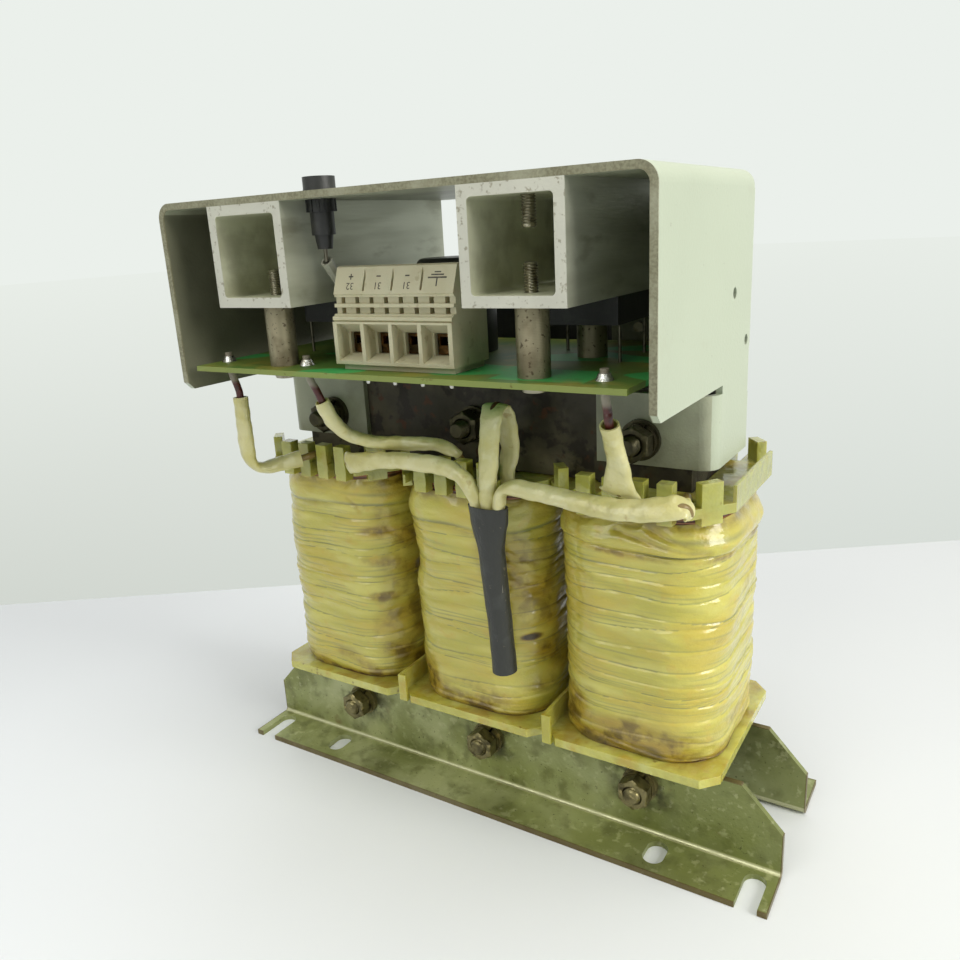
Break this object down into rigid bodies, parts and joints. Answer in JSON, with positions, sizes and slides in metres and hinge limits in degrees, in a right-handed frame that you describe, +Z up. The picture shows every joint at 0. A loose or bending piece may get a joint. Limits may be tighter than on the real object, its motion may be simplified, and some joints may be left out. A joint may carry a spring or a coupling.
{
  "type": "multi-tap transformer",
  "caption": "Open three-phase transformer on slotted angles, with a painted hood that carries a rectifier board, square heat sink tubes and an output terminal block.",
  "frame": {"origin": "middle of the four feet on the floor, straight under the middle of the core", "axes": "+X runs from left to right along the core, +Y from the terminal side to the rear, +Z up"},
  "size_m": [0.214, 0.1022, 0.2202],
  "materials": {
    "lamination_steel": "dark varnished sheet edges with brown rust spots",
    "bobbin_nylon": "translucent yellow-green moulding with varnish runs",
    "enamelled_wire": "brown enamelled copper",
    "insulation_film": "cream film",
    "varnished_tape": "glossy yellow tape with brown varnish stains",
    "passivated_steel": "yellow-green passivated zinc with stains and rust",
    "clamp_steel": "dull zinc with dark dirt",
    "hood_paint": "pale grey-green powder coat, chipped at the edges",
    "tube_aluminium": "mill finish with sawn end faces",
    "spacer_steel": "dark plain steel",
    "screw_steel": "plain zinc",
    "board_laminate": "green lacquer over glass laminate, amber bare areas",
    "black_moulding": "black moulding",
    "tinned_wire": "tinned copper",
    "can_sleeve": "dark shrunk film over an aluminium can",
    "terminal_moulding": "grey-beige moulding",
    "terminal_copper": "copper alloy",
    "fuse_glass": "clear tube",
    "lead_sleeving": "ivory glass-silk sleeving",
    "lead_enamel": "dark red enamel, tinned at the ends",
    "heat_shrink": "dark grey shrunk sleeve",
    "solder": "dull solder",
    "strip_metal": "plated brass"
  },
  "bodies": {
    "root": {"core_e_laminations": "lamination_steel", "core_yoke_laminations": "lamination_steel", "bobbin_left": "bobbin_nylon", "bobbin_middle": "bobbin_nylon", "bobbin_right": "bobbin_nylon", "primary_windings": "enamelled_wire", "interlayer_insulation": "insulation_film", "secondary_windings": "enamelled_wire", "coil_wrap_left": "varnished_tape", "coil_wrap_middle": "varnished_tape", "coil_wrap_right": "varnished_tape", "foot_angle_front": "passivated_steel", "foot_angle_rear": "passivated_steel", "lower_clamp_bolts": "clamp_steel", "lower_flat_washers": "clamp_steel", "lower_spring_washers": "clamp_steel", "lower_nuts": "clamp_steel", "upper_clamp_bolts": "clamp_steel", "upper_flat_washers": "clamp_steel", "upper_spring_washers": "clamp_steel", "upper_nuts": "clamp_steel", "hood": "hood_paint", "heat_sink_tube_left": "tube_aluminium", "heat_sink_tube_right": "tube_aluminium", "hood_screws": "screw_steel", "front_spacers": "spacer_steel", "rectifier_spacers": "spacer_steel", "board_screws": "screw_steel", "circuit_board": "board_laminate", "rectifier_left": "black_moulding", "rectifier_right": "black_moulding", "rectifier_leads": "tinned_wire", "smoothing_capacitor": "can_sleeve", "capacitor_pins": "tinned_wire", "terminal_housing": "terminal_moulding", "terminal_clamps": "terminal_copper", "terminal_screws": "screw_steel", "fuse_holder_body": "black_moulding", "fuse_holder_nut": "black_moulding", "fuse_cap": "black_moulding", "fuse_cartridge": "fuse_glass", "fuse_lead_wire": "tinned_wire", "fuse_lead_sleeve": "lead_sleeving", "solder_joints": "solder", "phase_wire_left": "lead_enamel", "phase_sleeve_left": "lead_sleeving", "phase_wire_middle": "lead_enamel", "phase_sleeve_middle": "lead_sleeving", "phase_wire_right": "lead_enamel", "phase_sleeve_right": "lead_sleeving", "star_wire_left": "lead_enamel", "star_sleeve_left": "lead_sleeving", "star_wire_middle": "lead_enamel", "star_sleeve_middle": "lead_sleeving", "star_wire_right": "lead_enamel", "star_sleeve_right": "lead_sleeving", "star_joint": "solder", "heat_shrink_sleeve": "heat_shrink", "tap_strip_body": "black_moulding", "tap_strip_terminals": "strip_metal"}
  },
  "joints": []
}
